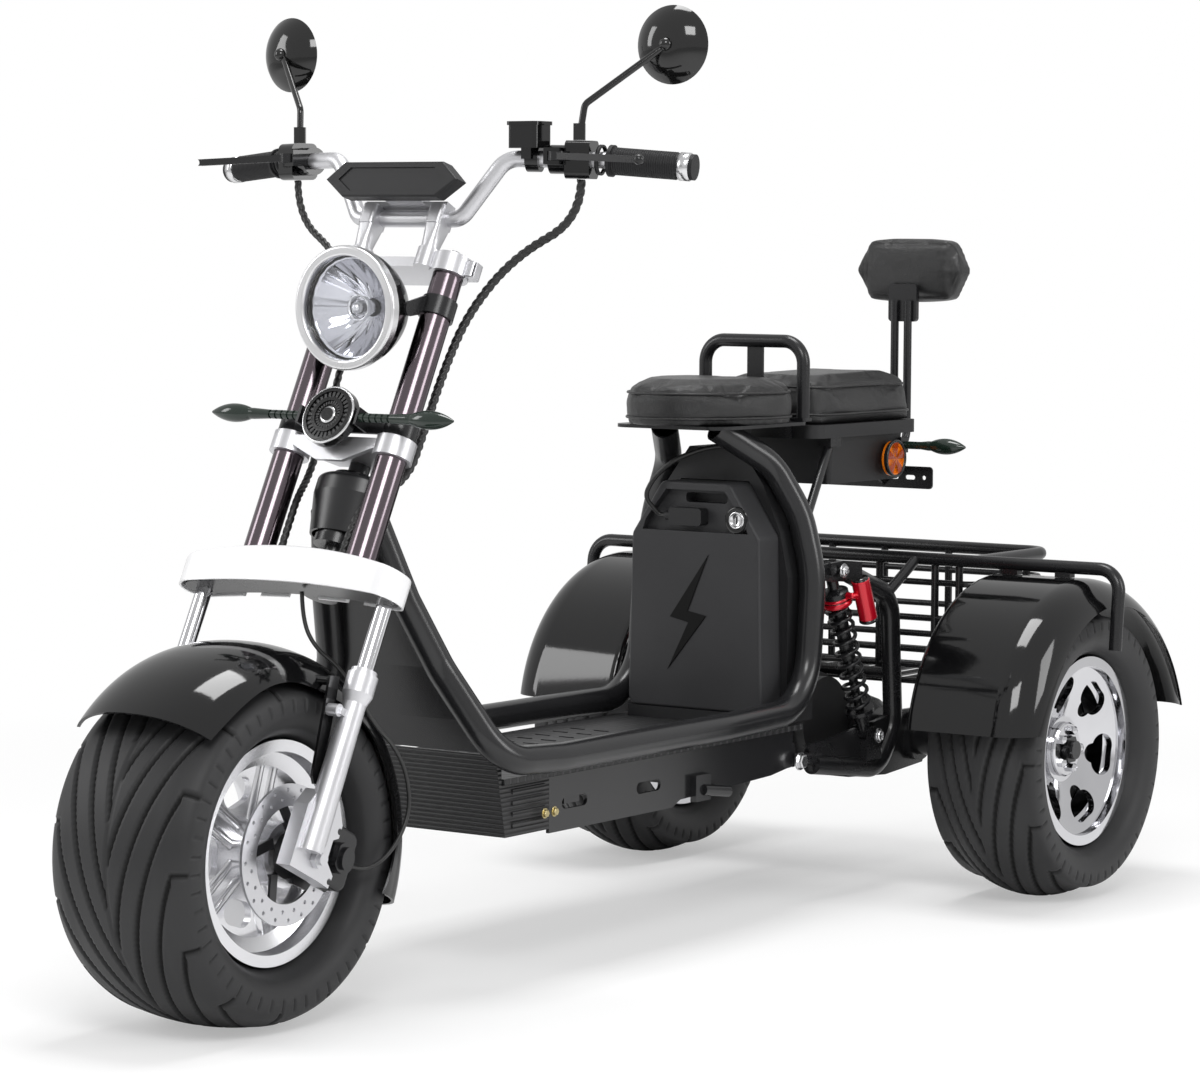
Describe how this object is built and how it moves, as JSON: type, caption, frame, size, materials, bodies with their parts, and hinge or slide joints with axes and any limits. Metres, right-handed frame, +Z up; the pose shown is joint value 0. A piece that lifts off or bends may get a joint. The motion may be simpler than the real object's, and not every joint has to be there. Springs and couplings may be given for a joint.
{
  "type": "electric tricycle",
  "caption": "Three-wheeled electric scooter with a fat front tyre, telescopic fork, low floor, upright battery box, two seats, backrest, rear rack and fendered rear wheels.",
  "frame": {"origin": "on the ground, in the middle of the overall length and width", "axes": "+Z up, -Y towards the front wheel, +X to the rider's left"},
  "size_m": [0.988, 2.0223, 1.3074],
  "materials": {
    "amber": "faceted amber",
    "battery_grey": "grained",
    "black_steel": "satin black",
    "cable_rubber": "matt",
    "cast_silver": "satin cast",
    "chrome_rim": "polished",
    "disc_steel": "brushed",
    "frame_grey": "satin dark grey",
    "gloss_black": "gloss",
    "grip_rubber": "matt",
    "lamp_ring": "satin",
    "leather": "soft sheen",
    "lens": "clear",
    "matte_black": "matt",
    "mirror_black": "gloss",
    "motor_black": "painted",
    "polished_rim": "polished",
    "red_anodised": "gloss red",
    "signal_black": "gloss",
    "stanchion_chrome": "polished",
    "tube_chrome": "dark chrome",
    "tyre": "matt",
    "white_cover": "gloss"
  },
  "bodies": {
    "frame": {"backrest_pad": "leather", "backrest_posts": "black_steel", "battery_bay": "matte_black", "battery_box": "battery_grey", "battery_cable": "cable_rubber", "battery_plug": "matte_black", "belly_pan": "matte_black", "floorboard": "matte_black", "front_seat": "leather", "grab_loop": "black_steel", "head_tube": "black_steel", "leg_shield": "frame_grey", "lower_rails": "frame_grey", "motor": "motor_black", "neck_cover": "matte_black", "plate_bracket": "black_steel", "rear_axle": "black_steel", "rear_fender_left": "gloss_black", "rear_fender_right": "gloss_black", "rear_rack": "black_steel", "rear_seat": "leather", "rear_signals": "signal_black", "rear_subframe": "black_steel", "seat_box": "matte_black", "seat_frame": "black_steel", "shock_bodies": "black_steel", "shock_reservoirs": "red_anodised", "shock_springs": "black_steel", "side_reflectors": "amber", "side_tubes": "frame_grey"},
    "steering": {"bar_controls": "gloss_black", "brake_caliper": "black_steel", "brake_levers": "black_steel", "bridge_cover": "white_cover", "control_cables": "cable_rubber", "dashboard": "matte_black", "fork_bridge": "black_steel", "fork_sliders": "cast_silver", "fork_tubes": "tube_chrome", "front_axle": "cast_silver", "front_bracket": "black_steel", "front_fender": "gloss_black", "front_signals": "signal_black", "grips": "grip_rubber", "handlebar": "cast_silver", "headlight_bowl": "gloss_black", "headlight_lens": "lens", "headlight_ring": "lamp_ring", "horn": "gloss_black", "middle_clamp": "cast_silver", "mirrors": "mirror_black", "stanchions": "stanchion_chrome", "top_clamp": "cast_silver"},
    "front_wheel": {"brake_disc": "disc_steel", "front_rim": "polished_rim", "front_tyre": "tyre"},
    "rear_wheel_left": {"rear_rim_left": "chrome_rim", "rear_tyre_left": "tyre"},
    "rear_wheel_right": {"rear_rim_right": "chrome_rim", "rear_tyre_right": "tyre"}
  },
  "joints": [
    {"name": "steering", "type": "hinge", "parent": "frame", "child": "steering", "pos_m": [0, -0.5122, 0.6936], "axis": [0, 0.454, 0.891], "range_deg": [-35, 35]},
    {"name": "front_wheel_spin", "type": "hinge", "parent": "steering", "child": "front_wheel", "pos_m": [0, -0.7842, 0.227], "axis": [1, 0, 0], "continuous": true},
    {"name": "rear_wheel_left_spin", "type": "hinge", "parent": "frame", "child": "rear_wheel_left", "pos_m": [0.364, 0.7158, 0.227], "axis": [1, 0, 0], "continuous": true},
    {"name": "rear_wheel_right_spin", "type": "hinge", "parent": "frame", "child": "rear_wheel_right", "pos_m": [-0.364, 0.7158, 0.227], "axis": [1, 0, 0], "continuous": true}
  ]
}
